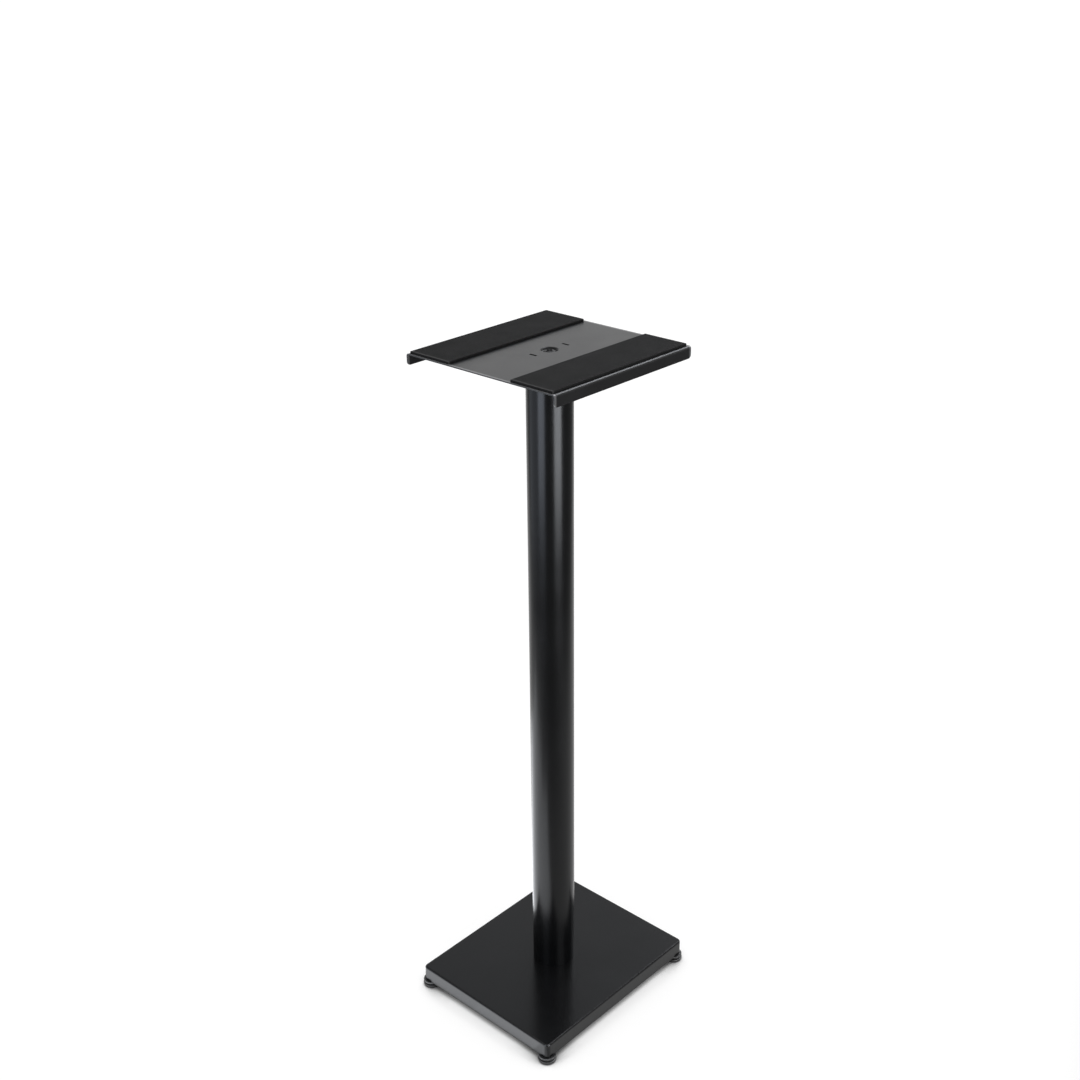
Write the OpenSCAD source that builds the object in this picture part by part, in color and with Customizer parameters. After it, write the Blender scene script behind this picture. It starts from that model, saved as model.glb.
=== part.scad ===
// Floor-standing speaker stand: a folded sheet base on four screw-in feet,
// one round column and a folded sheet top plate with two cushion pads.
// Millimetres. The origin is on the floor under the column's axis,
// +Z is up and -Y is the front.

/* [Base] */
// Width of the base pan, left to right
base_w = 237; // [190:1:400]
// Depth of the base pan, front to back
base_d = 287; // [230:1:450]
// Height of the base pan's folded skirt
base_skirt_h = 21.3; // [20.8:0.1:60]
// Outer radius of the bend along the base pan's top edges
base_bend_r = 2.5; // [1.6:0.1:5]
// Outer radius of the base pan's upright corners
base_corner_r = 6.5; // [4:0.1:12]
// Side of the square stiffener under the column's foot
stiffener_w = 90; // [60:1:140]
// Thickness of the stiffener
stiffener_t = 3; // [1.5:0.1:5]

/* [Sheet] */
// Thickness of the folded steel sheet of the base pan and the top plate
sheet_t = 1.5; // [1:0.1:1.5]

/* [Column] */
// Outer diameter of the column
column_d = 58; // [48:0.5:76]
// Length of the column between the base and the top plate
column_h = 890; // [300:1:1300]
// Wall thickness of the column
column_wall = 1.5; // [1.2:0.1:3]
// Thickness of the discs welded into the column's ends
column_disc_t = 4; // [2:0.1:8]
// Width of the locating tabs at the column's ends
tab_w = 10.4; // [6:0.1:16]
// Clearance around a locating tab in its slot
tab_clear = 0.2; // [0.1:0.05:0.5]

/* [Top plate] */
// Width of the top plate, left to right
plate_w = 234; // [170:1:320]
// Depth of the top plate, front to back
plate_d = 241; // [120:1:320]
// Depth of the folded side flanges, from the plate's top
plate_flange_h = 14.8; // [8:0.1:30]
// Outer radius of the bends beside the flanges
plate_bend_r = 3; // [1.6:0.1:6]
// Radius of the flanges' lower corners
flange_corner_r = 4.5; // [1:0.1:6]
// Diameter of the dished recess at the plate's surface
dish_d = 22; // [18:0.1:40]
// Diameter of the dished recess at its floor
dish_floor_d = 18.4; // [16.8:0.1:30]
// Depth of the dished recess
dish_depth = 3; // [1:0.1:6]

/* [Rest pads] */
// Thickness of the two cushion pads
pad_t = 3; // [1:0.1:6]
// Distance from the plate's centre to the left pad's inner edge
left_pad_inner_x = 48.5; // [20:0.5:80]
// Distance from the plate's centre to the right pad's inner edge
right_pad_inner_x = 49.5; // [20:0.5:80]
// Margin between a pad and the plate's side edge
pad_side_margin = 4.5; // [3:0.1:20]
// Margin between a pad and the plate's front edge
pad_front_margin = 1.5; // [0:0.1:20]
// Margin between a pad and the plate's back edge
pad_back_margin = 3; // [0:0.1:20]
// Radius of the pads' corners
pad_corner_r = 1; // [0.5:0.5:20]

/* [Main bolts] */
// Diameter of the two bolts that clamp the column
bolt_d = 8; // [6:0.5:8]
// Diameter of the top bolt's head
bolt_head_d = 16; // [13:0.5:16.5]
// Height of the top bolt's head
bolt_head_h = 2.6; // [1.5:0.1:4]
// Length of the top bolt's shank
top_bolt_shank = 20; // [16:0.5:40]
// Length of the base bolt's shank
base_bolt_shank = 22; // [20:0.5:50]
// Size across the flats of the bolt head and the welded nuts
hex_flats = 13; // [12.8:0.1:14.4]
// Height of the base bolt's hexagon head
hex_head_h = 5.3; // [3:0.1:7]
// Height of the nuts welded to the column's discs
weld_nut_h = 6.5; // [4:0.1:10]
// Outer diameter of the flat washer
washer_d = 24; // [18:0.5:40]
// Thickness of the flat washer
washer_t = 1.6; // [1:0.1:3]
// Outer diameter of the spring washer
spring_washer_d = 14.8; // [13:0.1:18]
// Thickness of the spring washer
spring_washer_t = 2; // [1:0.1:3]

/* [Feet] */
// Distance from the skirt's outer faces to a foot's axis
foot_inset = 8.3; // [8.2:0.1:12]
// Widest diameter of a foot
foot_d = 24.4; // [16:0.1:40]
// Diameter of a foot's flat on the floor
foot_floor_d = 22; // [12:0.1:23]
// Height of a foot's widest place above the floor
foot_wide_z = 2; // [1.3:0.1:3.9]
// Height at which a foot's side turns in to its ledge
foot_ledge_z = 4.6; // [4:0.1:4.7]
// Diameter of a foot's raised middle
foot_boss_d = 18; // [10:0.1:20]
// Height of a foot's lower pad
foot_pad_h = 6.8; // [6.5:0.1:20]
// Diameter of the finger wheel above a foot
wheel_d = 23.4; // [16:0.1:40]
// Thickness of the finger wheel
wheel_t = 3; // [2:0.1:8]
// Gap below and above the finger wheel
wheel_gap = 0.2; // [0.1:0.05:0.5]
// Diameter of a foot's threaded stud
stud_d = 6; // [5:0.5:6.5]
// How far a foot can be screwed out
foot_travel = 8; // [2:0.1:8.2]
// How far a stud still reaches through its nut when it is screwed out
stud_spare = 1.3; // [0.5:0.1:1.5]

/* [Corner plates] */
// Length of a corner plate's two sides
gusset_leg = 34; // [26:0.5:60]
// Width of a corner plate's cut ends
gusset_end = 12; // [8:0.5:20]
// Thickness of a corner plate
gusset_t = 3; // [1.5:0.1:4]
// Height of the nut on a corner plate
gusset_nut_h = 5; // [3:0.1:6]
// Size across the flats of the nut on a corner plate
gusset_nut_flats = 10; // [9:0.1:12]

/* [Spikes] */
// Diameter of a floor spike
spike_d = 6; // [4:0.5:8]
// Length of a spike's thread
spike_thread_l = 9.8; // [6:0.1:16]
// Length of a spike's knurled grip
spike_grip_l = 11.5; // [6:0.1:20]
// Length of a spike's cone
spike_cone_l = 5.7; // [4:0.1:12]
// Radius of a spike's blunt tip
spike_tip_r = 0.5; // [0.3:0.05:0.8]
// Pitch of a spike's thread
spike_pitch = 1; // [0.8:0.05:1.5]
// Depth of a spike's thread
spike_thread_depth = 0.55; // [0.3:0.05:0.6]
// Distance between the spikes that lie side by side
spike_spacing = 7.5; // [6.5:0.1:12]
// Distance from the column's axis to the middle of the lying spikes
spike_distance = 62; // [50:0.5:90]

/* [Hidden] */
$fn = 64;

corner_names = ["front_left", "front_right", "back_left", "back_right"];
corner_signs = [[-1, -1], [1, -1], [-1, 1], [1, 1]];
spike_count = 4;

// Clearances and the overrun of every cut
overrun = 1;
weld_clear = 0.05;
thread_clear = 0.05;
hole_clear = 0.25;
pivot_clear = 0.06;
seat_clear = 0.05;

// Heights, from the floor up
skirt_z = foot_pad_h + wheel_gap + wheel_t + wheel_gap;
base_top_z = skirt_z + base_skirt_h;
column_top_z = base_top_z + column_h;
plate_top_z = column_top_z + sheet_t;
gusset_nut_z = skirt_z + gusset_t;
stud_top_z = gusset_nut_z + gusset_nut_h + foot_travel + stud_spare;

// Column and what clamps it
column_r = column_d / 2;
column_inner_r = column_r - column_wall;
tab_h = sheet_t - tab_clear;
dish_floor_z = plate_top_z - dish_depth;
dish_under_z = dish_floor_z - sheet_t;
top_disc_z = dish_under_z - column_disc_t;
bolt_hole_r = bolt_d / 2 + hole_clear;

// Bolt stack under the base pan
pan_under_z = base_top_z - sheet_t;
washer_z = pan_under_z - stiffener_t - washer_t;
spring_washer_z = washer_z - spring_washer_t;
spring_washer_split = 1.2;
tip_chamfer = 0.8;

// Cross recess of the top bolt
cross_length = 8.6;
cross_slot_w = 1.5;
cross_core_d = 4.4;
cross_depth_share = 0.7;
head_round_r = 1.6;

// Foot pivot: a captive head on the stud's end turns in the lower pad
foot_x = base_w / 2 - foot_inset;
foot_y = base_d / 2 - foot_inset;
foot_round_r = 1.2;
foot_ledge_in = 1.6;
foot_ledge_drop = 0.5;
pivot_neck_r = 1.9;
pivot_head_r = 2.8;
pivot_head_z = 1.8;
pivot_head_h = 1.6;
wheel_round_r = 0.8;

// Corner plate, in the corner's own frame with the foot's axis at zero
gusset_reach = foot_inset - sheet_t - weld_clear;
gusset_corner_r = base_corner_r - sheet_t;

// Spikes lie on the base behind the column, along this heading
spike_heading = 132.5;
spike_chamfer = 0.6;
spike_neck_l = 0.5;

// Profile of a sheet edge: square below, a quarter round of radius r on top
module edge_profile(w, h, r) {
    square([w, h - r]);
    square([w - r, h]);
    translate([w - r, h - r]) intersection() {
        circle(r);
        square(r);
    }
}

// A block from z0 to z1 with upright corners of radius corner_r and a top
// edge rounded by bend_r, made of straight sides and turned corners
module folded_block(w, d, z0, z1, corner_r, bend_r) {
    inner_w = w - 2 * corner_r;
    inner_d = d - 2 * corner_r;
    translate([0, 0, z0]) {
        translate([-inner_w / 2, -inner_d / 2, 0]) cube([inner_w, inner_d, z1 - z0]);
        for (side = [0, 1]) {
            rotate([0, 0, 180 * side]) translate([inner_w / 2, inner_d / 2, 0])
                rotate([90, 0, 0]) linear_extrude(inner_d)
                    edge_profile(corner_r, z1 - z0, bend_r);
            rotate([0, 0, 180 * side + 90]) translate([inner_d / 2, inner_w / 2, 0])
                rotate([90, 0, 0]) linear_extrude(inner_w)
                    edge_profile(corner_r, z1 - z0, bend_r);
        }
        for (sx = [-1, 1], sy = [-1, 1])
            translate([sx * inner_w / 2, sy * inner_d / 2, 0])
                rotate([0, 0, sx > 0 ? (sy > 0 ? 0 : -90) : (sy > 0 ? 90 : 180)])
                    rotate_extrude(angle = 90) edge_profile(corner_r, z1 - z0, bend_r);
    }
}

// Outline that cuts a square corner at the origin to a round of radius r
module corner_cut(r) {
    difference() {
        square(r + overrun);
        circle(r);
    }
}

// Rectangle from (x0, y0) to (x1, y1) with round corners
module rounded_rectangle(x0, y0, x1, y1, r) {
    difference() {
        translate([x0, y0]) square([x1 - x0, y1 - y0]);
        translate([x1 - r, y1 - r]) corner_cut(r);
        translate([x0 + r, y1 - r]) rotate(90) corner_cut(r);
        translate([x0 + r, y0 + r]) rotate(180) corner_cut(r);
        translate([x1 - r, y0 + r]) rotate(270) corner_cut(r);
    }
}

// Hexagon prism, flats square to X
module hexagon(flats, h) {
    rotate([0, 0, 30]) cylinder(r = flats / sqrt(3), h = h, $fn = 6);
}

// Nut with its lower face at zero
module nut(flats, h, thread_d) {
    difference() {
        intersection() {
            hexagon(flats, h);
            turned_chamfers(flats, h);
        }
        translate([0, 0, -overrun]) cylinder(d = thread_d + 2 * thread_clear, h = h + 2 * overrun);
    }
}

// Round body that takes the corners off both ends of a hexagon
module turned_chamfers(flats, h) {
    corner_r = flats / sqrt(3);
    cut = corner_r - flats / 2;
    rise = cut / sqrt(3);
    rotate_extrude() polygon([
        [0, 0], [flats / 2, 0], [corner_r, rise],
        [corner_r, h - rise], [flats / 2, h], [0, h]]);
}

// The slots in both sheets that take the column's tabs
module tab_slots(z) {
    slot_w = tab_w + 2 * tab_clear;
    slot_d = column_wall + 4 * tab_clear;
    for (sy = [-1, 1])
        translate([-slot_w / 2, sy * (column_r - column_wall / 2) - slot_d / 2, z - overrun])
            cube([slot_w, slot_d, sheet_t + 2 * overrun]);
}

// Base

module base_pan() {
    color("#1b1b1d") difference() {
        folded_block(base_w, base_d, skirt_z, base_top_z, base_corner_r, base_bend_r);
        folded_block(base_w - 2 * sheet_t, base_d - 2 * sheet_t, skirt_z - overrun, pan_under_z,
            base_corner_r - sheet_t, base_bend_r - sheet_t);
        translate([0, 0, pan_under_z - overrun]) cylinder(r = bolt_hole_r, h = sheet_t + 2 * overrun);
        tab_slots(pan_under_z);
    }
}

module base_stiffener() {
    half = stiffener_w / 2;
    color("#232326") difference() {
        translate([0, 0, pan_under_z - stiffener_t]) linear_extrude(stiffener_t)
            rounded_rectangle(-half, -half, half, half, base_corner_r);
        translate([0, 0, pan_under_z - stiffener_t - overrun])
            cylinder(r = bolt_hole_r, h = stiffener_t + 2 * overrun);
    }
}

module base_bolt() {
    length = hex_head_h + base_bolt_shank;
    color("#a9abac") translate([0, 0, spring_washer_z - hex_head_h]) union() {
        intersection() {
            hexagon(hex_flats, hex_head_h);
            turned_chamfers(hex_flats, hex_head_h);
        }
        rotate_extrude() polygon([
            [0, 0], [bolt_d / 2, 0], [bolt_d / 2, length - tip_chamfer],
            [bolt_d / 2 - tip_chamfer, length], [0, length]]);
    }
}

module base_washer() {
    color("#b4b6b7") translate([0, 0, washer_z]) difference() {
        cylinder(d = washer_d, h = washer_t);
        translate([0, 0, -overrun]) cylinder(r = bolt_hole_r, h = washer_t + 2 * overrun);
    }
}

module base_spring_washer() {
    color("#b4b6b7") translate([0, 0, spring_washer_z]) difference() {
        cylinder(d = spring_washer_d, h = spring_washer_t);
        translate([0, 0, -overrun]) cylinder(r = bolt_hole_r, h = spring_washer_t + 2 * overrun);
        translate([0, -spring_washer_split / 2, -overrun])
            cube([spring_washer_d, spring_washer_split, spring_washer_t + 2 * overrun]);
    }
}

// Column

module column_disc(z) {
    color("#232326") translate([0, 0, z]) difference() {
        cylinder(r = column_inner_r - weld_clear, h = column_disc_t);
        translate([0, 0, -overrun]) cylinder(r = bolt_hole_r, h = column_disc_t + 2 * overrun);
    }
}

// Cuts a tube's end back to z, but leaves its two tabs
module tab_cutter(z) {
    translate([0, 0, z]) linear_extrude(tab_h + overrun) difference() {
        circle(column_r + overrun);
        square([tab_w, 2 * column_d], center = true);
    }
}

module column_tube() {
    color("#161618") difference() {
        translate([0, 0, base_top_z - tab_h]) cylinder(r = column_r, h = column_h + 2 * tab_h);
        translate([0, 0, base_top_z - tab_h - overrun])
            cylinder(r = column_inner_r, h = column_h + 2 * tab_h + 2 * overrun);
        translate([0, 0, -tab_h - overrun]) tab_cutter(base_top_z);
        tab_cutter(column_top_z);
    }
}

module bottom_weld_nut() {
    color("#a9abac") translate([0, 0, base_top_z + column_disc_t]) nut(hex_flats, weld_nut_h, bolt_d);
}

module top_weld_nut() {
    color("#a9abac") translate([0, 0, top_disc_z - weld_nut_h]) nut(hex_flats, weld_nut_h, bolt_d);
}

// Top plate

// Channel across X: a sheet with its two side flanges, w wide
module channel(w, z0, z1, length, bend_r) {
    for (side = [0, 1])
        rotate([0, 0, 180 * side]) translate([0, length / 2, z0])
            rotate([90, 0, 0]) linear_extrude(length) edge_profile(w / 2, z1 - z0, bend_r);
}

module top_plate() {
    flange_z = plate_top_z - plate_flange_h;
    color("#1b1b1d") difference() {
        union() {
            difference() {
                channel(plate_w, flange_z, plate_top_z, plate_d, plate_bend_r);
                channel(plate_w - 2 * sheet_t, flange_z - overrun, column_top_z,
                    plate_d + 2 * overrun, plate_bend_r - sheet_t);
            }
            translate([0, 0, dish_under_z])
                cylinder(d1 = dish_floor_d + 2 * sheet_t, d2 = dish_d + 2 * sheet_t, h = dish_depth);
        }
        translate([0, 0, dish_floor_z]) cylinder(d1 = dish_floor_d, d2 = dish_d, h = dish_depth);
        translate([0, 0, plate_top_z]) cylinder(d = dish_d, h = overrun);
        translate([0, 0, dish_under_z - overrun]) cylinder(r = bolt_hole_r, h = sheet_t + 2 * overrun);
        tab_slots(column_top_z);
        for (sy = [-1, 1])
            translate([-plate_w / 2 - overrun, sy * (plate_d / 2 - flange_corner_r), flange_z + flange_corner_r])
                rotate([90, 0, 90]) mirror([sy < 0 ? 1 : 0, 0]) mirror([0, 1])
                    linear_extrude(plate_w + 2 * overrun) corner_cut(flange_corner_r);
    }
}

module top_bolt() {
    head_r = bolt_head_d / 2;
    color("#141416") translate([0, 0, dish_floor_z]) difference() {
        union() {
            rotate_extrude() {
                square([head_r - head_round_r, bolt_head_h]);
                square([head_r, bolt_head_h - head_round_r]);
                translate([head_r - head_round_r, bolt_head_h - head_round_r]) intersection() {
                    circle(head_round_r);
                    square(head_round_r);
                }
            }
            translate([0, 0, -top_bolt_shank]) rotate_extrude() polygon([
                [0, 0], [bolt_d / 2 - tip_chamfer, 0], [bolt_d / 2, tip_chamfer],
                [bolt_d / 2, top_bolt_shank], [0, top_bolt_shank]]);
        }
        cross_recess();
    }
}

// Cross recess in the top bolt's head: two slots and a tapered core
module cross_recess() {
    depth = cross_depth_share * bolt_head_h;
    translate([0, 0, bolt_head_h - depth]) {
        for (turn = [0, 90])
            rotate([0, 0, turn]) translate([-cross_length / 2, -cross_slot_w / 2, 0])
                cube([cross_length, cross_slot_w, depth + overrun]);
        cylinder(d1 = cross_core_d / 2, d2 = cross_core_d, h = depth);
        translate([0, 0, depth]) cylinder(d = cross_core_d, h = overrun);
    }
}

// Cushion pad between two X places
module rest_pad(x0, x1) {
    y0 = -plate_d / 2 + pad_front_margin;
    y1 = plate_d / 2 - pad_back_margin;
    color("#3a3a3d") translate([0, 0, plate_top_z]) linear_extrude(pad_t)
        rounded_rectangle(x0, y0, x1, y1, pad_corner_r);
}

module rest_pad_left() {
    rest_pad(-plate_w / 2 + pad_side_margin, -left_pad_inner_x);
}

module rest_pad_right() {
    rest_pad(right_pad_inner_x, plate_w / 2 - pad_side_margin);
}

// Corners and feet

// Moves a piece drawn at the foot's axis, with +X and +Y outward, to a corner
module at_corner(i) {
    sx = corner_signs[i][0];
    sy = corner_signs[i][1];
    translate([sx * foot_x, sy * foot_y, 0])
        mirror([sx < 0 ? 1 : 0, 0, 0]) mirror([0, sy < 0 ? 1 : 0, 0]) children();
}

module corner_gusset() {
    out = gusset_reach;
    color("#232326") translate([0, 0, skirt_z]) difference() {
        linear_extrude(gusset_t) difference() {
            polygon([
                [out, out], [out - gusset_leg, out], [out - gusset_leg, out - gusset_end],
                [out - gusset_end, out - gusset_leg], [out, out - gusset_leg]]);
            translate([out - gusset_corner_r, out - gusset_corner_r]) corner_cut(gusset_corner_r);
        }
        translate([0, 0, -overrun]) cylinder(d = stud_d + 2 * hole_clear, h = gusset_t + 2 * overrun);
    }
}

module gusset_nut() {
    color("#a9abac") translate([0, 0, gusset_nut_z]) nut(gusset_nut_flats, gusset_nut_h, stud_d);
}

module foot_wheel() {
    r = wheel_d / 2;
    color("#202022") translate([0, 0, foot_pad_h + wheel_gap]) difference() {
        rotate_extrude() polygon([
            [0, 0], [r - wheel_round_r, 0], [r, wheel_round_r],
            [r, wheel_t - wheel_round_r], [r - wheel_round_r, wheel_t], [0, wheel_t]]);
        translate([0, 0, -overrun]) cylinder(d = stud_d + 2 * weld_clear, h = wheel_t + 2 * overrun);
    }
}

module foot_stud() {
    wheel_z = foot_pad_h + wheel_gap;
    r = stud_d / 2;
    color("#b4b6b7") rotate_extrude() polygon([
        [0, pivot_head_z], [pivot_head_r, pivot_head_z],
        [pivot_head_r, pivot_head_z + pivot_head_h], [pivot_neck_r, pivot_head_z + pivot_head_h],
        [pivot_neck_r, wheel_z], [r, wheel_z],
        [r, stud_top_z - tip_chamfer], [r - tip_chamfer, stud_top_z], [0, stud_top_z]]);
}

// Side of a foot's lower pad, turned about the stud's axis
module foot_pad_profile() {
    floor_r = foot_floor_d / 2;
    r = foot_d / 2;
    boss_r = foot_boss_d / 2;
    ledge_z = foot_ledge_z + foot_ledge_drop;
    polygon([
        [0, 0], [floor_r, 0], [r - foot_round_r / 2, foot_wide_z - foot_round_r],
        [r, foot_wide_z], [r, foot_ledge_z], [r - foot_ledge_in, ledge_z],
        [boss_r, ledge_z], [boss_r, foot_pad_h], [0, foot_pad_h]]);
}

module foot_pad() {
    head_r = pivot_head_r + pivot_clear;
    color("#19191b") difference() {
        rotate_extrude() foot_pad_profile();
        translate([0, 0, pivot_head_z - seat_clear])
            cylinder(r = head_r, h = pivot_head_h + 2 * seat_clear);
        translate([0, 0, pivot_head_z]) cylinder(r = pivot_neck_r + pivot_clear, h = foot_pad_h);
    }
}

// Spikes

// One thread groove of the spike, as outline points from z up
function thread_turn(z) = [
    [spike_d / 2, z + spike_pitch / 8],
    [spike_d / 2 - spike_thread_depth, z + spike_pitch / 2],
    [spike_d / 2, z + spike_pitch * 7 / 8]];

// Spike standing on its flat end, thread below and cone on top
module spike() {
    r = spike_d / 2;
    turns = floor((spike_thread_l - spike_chamfer) / spike_pitch);
    grip_z = spike_thread_l + spike_neck_l;
    cone_z = spike_thread_l + spike_grip_l;
    total = cone_z + spike_cone_l;
    color("#cdb981") rotate_extrude() polygon(concat(
        [[0, 0], [r - spike_chamfer, 0], [r, spike_chamfer]],
        [for (i = [0 : turns - 1]) each thread_turn(spike_chamfer + i * spike_pitch)],
        [[r - spike_thread_depth, spike_thread_l], [r, grip_z], [r, cone_z],
         [spike_tip_r, total - spike_tip_r], [0, total]]));
}

// Spikes side by side on the base, numbered along the row
module lying_spike(i) {
    across = (i - (spike_count + 1) / 2) * spike_spacing;
    total = spike_thread_l + spike_grip_l + spike_cone_l;
    rotate([0, 0, spike_heading])
        translate([spike_distance - total / 2, across, base_top_z + spike_d / 2 + seat_clear])
            rotate([0, 90, 0]) spike();
}

base_pan();
base_stiffener();
base_bolt();
base_washer();
base_spring_washer();
bottom_weld_nut();
column_disc(base_top_z);  // column_bottom_disc
column_tube();
column_disc(top_disc_z);  // column_top_disc
top_weld_nut();
top_plate();
top_bolt();
rest_pad_left();
rest_pad_right();
for (i = [0 : 3]) {
    name = corner_names[i];
    at_corner(i) corner_gusset();
    at_corner(i) gusset_nut();
    at_corner(i) foot_wheel();
    at_corner(i) foot_stud();
    at_corner(i) foot_pad();
}
for (i = [1 : spike_count])
    lying_spike(i);
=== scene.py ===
import bmesh
import bpy
import numpy as np
from mathutils import Matrix


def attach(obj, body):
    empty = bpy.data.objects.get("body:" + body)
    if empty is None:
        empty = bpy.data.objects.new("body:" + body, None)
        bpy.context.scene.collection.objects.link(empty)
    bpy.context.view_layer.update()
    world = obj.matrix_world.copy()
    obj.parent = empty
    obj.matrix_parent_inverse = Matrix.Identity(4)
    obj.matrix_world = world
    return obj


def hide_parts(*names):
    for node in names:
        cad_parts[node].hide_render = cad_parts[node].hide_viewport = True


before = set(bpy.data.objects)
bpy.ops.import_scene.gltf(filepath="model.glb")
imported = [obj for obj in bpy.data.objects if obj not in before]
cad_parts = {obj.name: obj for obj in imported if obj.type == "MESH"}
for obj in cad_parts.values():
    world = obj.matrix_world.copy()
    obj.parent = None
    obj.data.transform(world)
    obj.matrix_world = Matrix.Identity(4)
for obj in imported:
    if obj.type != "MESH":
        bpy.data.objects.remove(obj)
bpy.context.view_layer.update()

# Shapes below are worked out in millimetres and stored in metres. A turned profile that closes on its axis
# ends at this radius, and a fan closes the rest.
MM = 0.001
AXIS_R = 0.01

# Heights, from the floor up
SKIRT_Z = 10.2
PAN_UNDER_Z = 30.0
BASE_TOP_Z = 31.5
COLUMN_TOP_Z = 921.5
PLATE_TOP_Z = 923.0

# Base pan
BASE_W = 237.0
BASE_D = 287.0
BASE_CORNER_R = 6.5
BASE_BEND_R = 2.5
SHEET_T = 1.5
SHEET_EASE = 0.35
BOLT_HOLE_R = 4.25

# Column
COLUMN_R = 29.0
COLUMN_WALL = 1.5
COLUMN_EASE = 0.3
TAB_H = 1.3
TOP_TAB_H = 0.2
TAB_HALF_ANGLE = np.radians(10.5)
COLUMN_STEPS = 288

# Top plate
PLATE_W = 234.0
PLATE_D = 241.0
PLATE_FLANGE_H = 14.8
PLATE_BEND_R = 3.0
FLANGE_CORNER_R = 4.5
SLOT_HALF_W = 5.4
SLOT_NEAR_Y = 26.6
SLOT_FAR_Y = 29.9
DISH_R = 11.0
DISH_FLOOR_R = 9.2
DISH_DEPTH = 3.0
DISH_SQUARE = 15.0
DISH_LIP = 1.5
DISH_EASE = 0.7

# Cushion pads: left and right edges of each, and their front and back ends
PAD_T = 3.0
PAD_CORNER_R = 1.0
PAD_EDGE_R = 0.5
PAD_CHAMFER = 0.25
PAD_SPINE_INSET = 30.0
PAD_X = {"left": (-112.5, -48.5), "right": (49.5, 112.5)}
PAD_Y = (-119.0, 117.5)

# Top bolt
BOLT_R = 8.0
BOLT_H = 2.6
BOLT_SHANK_R = 4.0
BOLT_SHANK_L = 20.0
BOLT_DOME_R = 21.0
BOLT_ROLL_R = 1.6
BOLT_EDGE = 0.3
BOLT_PITCH = 1.25
BOLT_THREAD_DEPTH = 0.65
CROSS_HALF_L = 4.9
CROSS_HALF_W = 1.0
CROSS_CORE_R = 2.7
CROSS_DEPTH = 2.2
CROSS_SLOT_SLOPE = 0.22
CROSS_CORE_SLOPE = 0.5

# Feet
FOOT_X = 110.2
FOOT_Y = 135.2
WHEEL_R = 11.9
WHEEL_Z = 7.0
WHEEL_T = 3.0
WHEEL_BORE_R = 3.05
WHEEL_EDGE_R = 0.6
WHEEL_FACE_R = 8.0
WHEEL_FLUTES_FROM_R = 9.5
WHEEL_FLUTES = 36
WHEEL_FLUTE_DEPTH = 0.35
STUD_R = 3.0
STUD_TOP_Z = 27.5
STUD_PITCH = 1.0
STUD_THREAD_DEPTH = 0.55
STUD_HEAD_R = 2.8
STUD_NECK_R = 1.9
STUD_HEAD_Z = 1.8
STUD_NECK_Z = 3.4

# Foot pad, as (radius, height) points: its underside from the axis out, and its outside, from the sole up
# and in to the floor of the socket
FOOT_PAD_UNDER = ((AXIS_R, 0.35), (9.0, 0.35), (9.4, 0.0))
FOOT_PAD_OUTSIDE = (
    (9.6, 0.0), (11.0, 0.0), (11.5, 0.6), (11.55, 1.05), (11.35, 1.1), (11.35, 1.3), (11.75, 1.35),
    (12.2, 2.2), (12.2, 4.6), (10.6, 5.1), (9.0, 5.1), (9.0, 6.8), (1.96, 6.8),
    (1.96, 3.45), (2.86, 3.45), (2.86, 1.75), (AXIS_R, 1.75))

# Spikes
SPIKE_R = 3.0
SPIKE_THREAD_L = 9.8
SPIKE_GRIP_L = 11.5
SPIKE_CONE_L = 5.7
SPIKE_TIP_R = 0.5
SPIKE_NECK_R = 2.45
KNURL_RIDGES = 24
KNURL_RISE = 0.8
KNURL_DEPTH = 0.28
SPIKE_PITCH = 1.0
SPIKE_THREAD_DEPTH = 0.55
SPIKE_SPACING = 7.5
SPIKE_DISTANCE = 62.0
SPIKE_HEADING = np.radians(132.5)
SPIKE_LIE = 0.05

# Shades of the floor, how near the painted contact shadow is felt, and where painted shade sets in, past
# which the floor's colour darkens and its glow fades: heading in degrees and metres from the column
PAPER = 0.42
SHADED_PAPER = 0.34
FLOOR_LIFT = 0.66
CONTACT_REACH = 0.045
CONTACT_RANGE = (0.44, 0.76)
SHADE_FADES = ((-47.5, 0.27), (22.0, 0.66), (-116.0, 0.74))
FADE_LENGTH = 0.5
FLOOR_HALF = 40.0

# Backdrop: how bright it is at each share of the way from straight down to straight up
BACKDROP = ((0.0, 1.1), (0.32, 1.1), (0.45, 0.75), (0.60, 0.36), (0.72, 0.16), (1.0, 0.13))

# Lamps: the spread of the light from above, the height of the cards, and the tints
CEILING_SPREAD = np.radians(70.0)
CARD_LIFT = 0.001
COOL = (0.80, 0.87, 1.0)
CLEAR = (0.92, 0.95, 1.0)

# Camera: focal length and film width in mm, turns in radians, place in metres
LENS = 49.175
FILM_W = 36.0
CAMERA_TURNS = (2.31981, -0.42448, -0.01075)
CAMERA_PLACE = (1.13014, -1.23541, 1.43386)

# Painted highlight along the top plate's and the pads' cut ends: where the paler band starts, is full and
# stops, in mm along Y, and its colour
PLATE_HIGHLIGHT_ENDS = (116.5, 118.5, 120.35, (0.16, 0.16, 0.165))
FOAM_HIGHLIGHT_ENDS = (115.0, 117.0, 118.6, (0.050, 0.050, 0.050))

CORNERS = {"front_left": (-1, -1), "front_right": (1, -1), "back_left": (-1, 1), "back_right": (1, 1)}


# Materials

def add(tree, kind, inputs=None, **settings):
    """Adds a shader node, sets its attributes, and sets or links its inputs by name or number."""
    made = tree.nodes.new(kind)
    for key, value in settings.items():
        setattr(made, key, value)
    for key, value in (inputs or {}).items():
        if isinstance(value, bpy.types.NodeSocket):
            tree.links.new(value, made.inputs[key])
        else:
            made.inputs[key].default_value = value
    return made


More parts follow.
